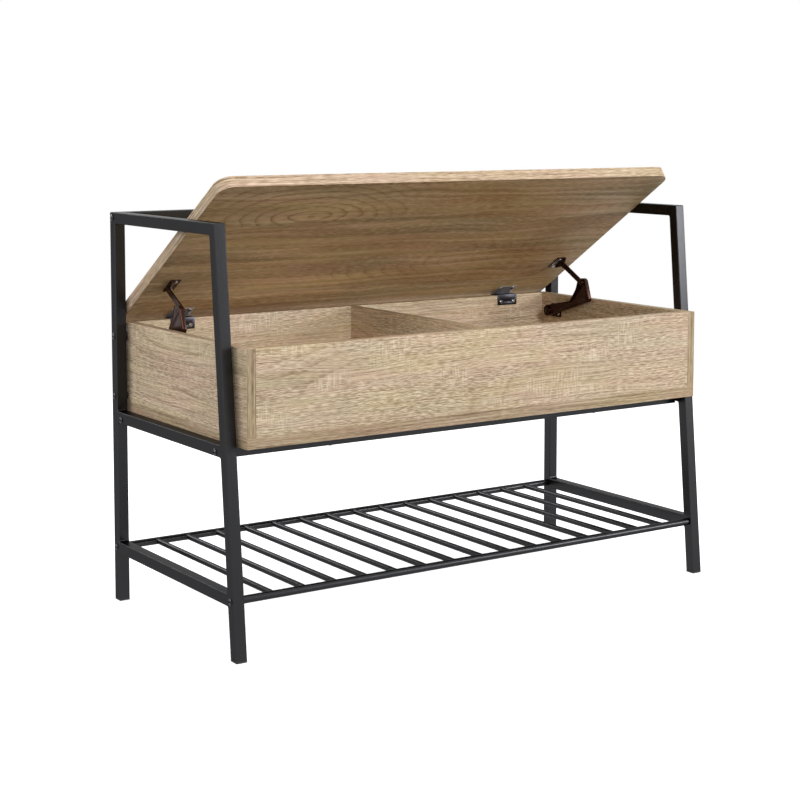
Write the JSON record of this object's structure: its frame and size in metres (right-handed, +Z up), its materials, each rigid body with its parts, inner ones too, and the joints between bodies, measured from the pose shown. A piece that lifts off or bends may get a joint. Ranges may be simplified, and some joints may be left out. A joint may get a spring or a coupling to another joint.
{
  "type": "entryway storage bench",
  "caption": "Entryway storage bench: tubular side frames, slatted shoe shelf and a divided wooden box under a lid held open by two linked stays.",
  "frame": {"origin": "on the floor, under the middle of the bench's bounding box with the lid at rest, 33 degrees open", "axes": "+X to the right of a user facing the bench's front from -Y, +Y towards the back, where the hinges are, +Z up"},
  "size_m": [1.006, 0.4779, 0.7676],
  "materials": {
    "frame_coat": "satin powder coat",
    "oak": "clear matt lacquer, grain along the panels",
    "dowel_wood": "raw",
    "glide_plastic": "moulded",
    "bolt_black": "black oxide",
    "insert_steel": "zinc plated",
    "screw_steel": "nickel plated",
    "hinge_steel": "satin nickel plated",
    "stay_bronze": "dark bronze lacquer"
  },
  "bodies": {
    "frame": {"left_rear_post": "frame_coat", "left_front_post": "frame_coat", "left_top_rail": "frame_coat", "left_mid_rail": "frame_coat", "left_low_rail": "frame_coat", "right_rear_post": "frame_coat", "right_front_post": "frame_coat", "right_top_rail": "frame_coat", "right_mid_rail": "frame_coat", "right_low_rail": "frame_coat", "rear_top_rail": "frame_coat", "front_cross_rail": "frame_coat", "rear_cross_rail": "frame_coat", "shelf_front_tube": "frame_coat", "shelf_rear_tube": "frame_coat", "shelf_rods": "frame_coat", "foot_glides": "glide_plastic", "rail_end_plugs": "insert_steel", "frame_bolts": "bolt_black", "box_spacers": "glide_plastic", "box_bottom": "oak", "box_left_side": "oak", "box_right_side": "oak", "box_front": "oak", "box_back": "oak", "box_divider": "oak", "box_inserts": "insert_steel", "panel_dowels": "dowel_wood", "panel_screws": "screw_steel", "rail_screws": "screw_steel", "left_hinge_box_leaf": "hinge_steel", "left_hinge_pin": "hinge_steel", "right_hinge_box_leaf": "hinge_steel", "right_hinge_pin": "hinge_steel", "hinge_box_screws": "screw_steel", "left_stay_base": "stay_bronze", "left_stay_base_rivet": "stay_bronze", "right_stay_base": "stay_bronze", "right_stay_base_rivet": "stay_bronze", "stay_base_screws": "screw_steel"},
    "lid": {"lid_panel": "oak", "left_hinge_lid_leaf": "hinge_steel", "right_hinge_lid_leaf": "hinge_steel", "hinge_lid_screws": "screw_steel", "left_stay_lid_bracket": "stay_bronze", "left_stay_lid_rivet": "stay_bronze", "right_stay_lid_bracket": "stay_bronze", "right_stay_lid_rivet": "stay_bronze", "stay_lid_screws": "screw_steel"},
    "left_stay_lower": {"left_stay_lower_arm": "stay_bronze", "left_stay_elbow_rivet": "stay_bronze"},
    "left_stay_upper": {"left_stay_upper_arm": "stay_bronze"},
    "right_stay_lower": {"right_stay_lower_arm": "stay_bronze", "right_stay_elbow_rivet": "stay_bronze"},
    "right_stay_upper": {"right_stay_upper_arm": "stay_bronze"}
  },
  "joints": [
    {"name": "lid_hinge", "type": "hinge", "parent": "frame", "child": "lid", "pos_m": [0, 0.21821, 0.4977], "axis": [-1, 0, 0], "range_deg": [-33, 39]},
    {"name": "left_stay_base_pivot", "type": "hinge", "parent": "frame", "child": "left_stay_lower", "pos_m": [-0.4476, 0.16221, 0.4667], "axis": [-1, 0, 0], "range_deg": [-33, 39]},
    {"name": "left_stay_lid_pivot", "type": "hinge", "parent": "lid", "child": "left_stay_upper", "pos_m": [-0.4417, 0.10692, 0.56318], "axis": [-1, 0, 0], "range_deg": [-39, 33]},
    {"name": "right_stay_base_pivot", "type": "hinge", "parent": "frame", "child": "right_stay_lower", "pos_m": [0.4476, 0.16221, 0.4667], "axis": [-1, 0, 0], "range_deg": [-33, 39]},
    {"name": "right_stay_lid_pivot", "type": "hinge", "parent": "lid", "child": "right_stay_upper", "pos_m": [0.4417, 0.10692, 0.56318], "axis": [-1, 0, 0], "range_deg": [-39, 33]}
  ],
  "couplings": [
    {"joint": "left_stay_base_pivot", "follows": "lid_hinge", "ratio": 1},
    {"joint": "left_stay_lid_pivot", "follows": "lid_hinge", "ratio": -1},
    {"joint": "right_stay_base_pivot", "follows": "lid_hinge", "ratio": 1},
    {"joint": "right_stay_lid_pivot", "follows": "lid_hinge", "ratio": -1}
  ]
}
